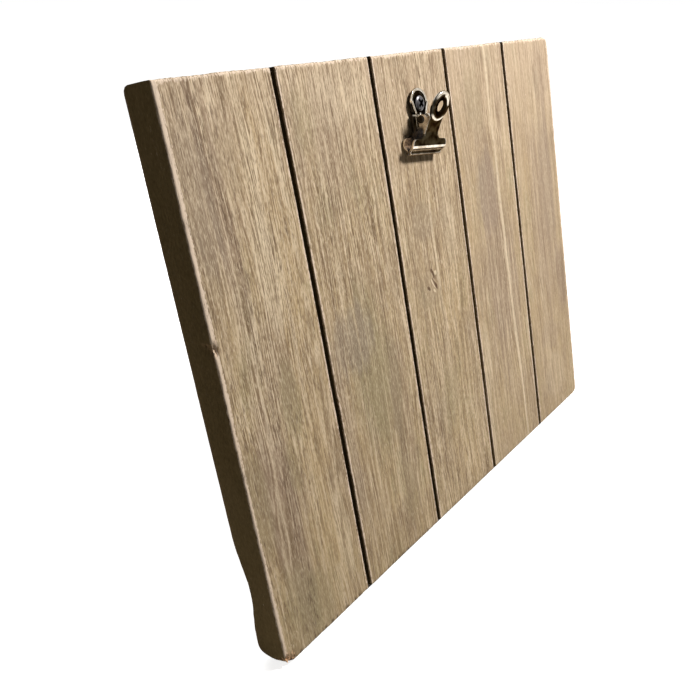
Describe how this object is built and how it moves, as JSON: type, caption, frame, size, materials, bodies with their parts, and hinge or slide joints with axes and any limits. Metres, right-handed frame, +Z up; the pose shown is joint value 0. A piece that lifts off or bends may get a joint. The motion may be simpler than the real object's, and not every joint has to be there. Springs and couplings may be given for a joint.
{
  "type": "clipboard picture frame",
  "caption": "Leaning board of weathered wooden planks with a pivoting bulldog clip screwed to its face for holding a print, propped on a folding easel leg.",
  "frame": {"origin": "on the table, under the middle of the whole part's box", "axes": "+X to the right as seen from the front, +Y to the back towards the easel leg, +Z up"},
  "size_m": [0.254, 0.096, 0.1913],
  "materials": {
    "weathered_wood": "dry, grey-brown weathered grain, unvarnished",
    "batten_wood": "planed, unvarnished",
    "leg_wood": "stained, satin",
    "zinc_steel": "zinc plated",
    "dark_screw_steel": "dark oxide",
    "nickel_steel": "bright nickel plated",
    "spring_steel": "bright drawn wire"
  },
  "bodies": {
    "board": {"plank_1": "weathered_wood", "plank_2": "weathered_wood", "plank_3": "weathered_wood", "plank_4": "weathered_wood", "plank_5": "weathered_wood", "upper_batten": "batten_wood", "lower_batten": "batten_wood", "upper_batten_screw_1": "zinc_steel", "upper_batten_screw_2": "zinc_steel", "upper_batten_screw_3": "zinc_steel", "upper_batten_screw_4": "zinc_steel", "upper_batten_screw_5": "zinc_steel", "lower_batten_screw_1": "zinc_steel", "lower_batten_screw_2": "zinc_steel", "lower_batten_screw_3": "zinc_steel", "lower_batten_screw_4": "zinc_steel", "lower_batten_screw_5": "zinc_steel", "easel_bracket": "zinc_steel", "bracket_screw_1": "zinc_steel", "bracket_screw_2": "zinc_steel", "easel_pin": "zinc_steel", "clip_screw": "dark_screw_steel"},
    "easel_leg": {"easel_leg": "leg_wood"},
    "clip_rear": {"clip_rear_plate": "nickel_steel", "clip_pin": "nickel_steel", "clip_spring": "spring_steel"},
    "clip_front": {"clip_front_plate": "nickel_steel"}
  },
  "joints": [
    {"name": "leg_fold", "type": "hinge", "parent": "board", "child": "easel_leg", "pos_m": [0, 0.01111, 0.14191], "axis": [-1, 0, 0], "range_deg": [0, 25]},
    {"name": "clip_swivel", "type": "hinge", "parent": "board", "child": "clip_rear", "pos_m": [-0.0005, -0.01384, 0.17267], "axis": [0, -0.9781, 0.2079], "continuous": true},
    {"name": "clip_squeeze", "type": "hinge", "parent": "clip_rear", "child": "clip_front", "pos_m": [-0.00117, -0.0182, 0.16709], "axis": [-0.9945, 0.0217, 0.1022], "range_deg": [0, 40], "stiffness_Nm_per_rad": 0.03, "springref_deg": -22.92, "deforming": ["clip_spring"]}
  ]
}
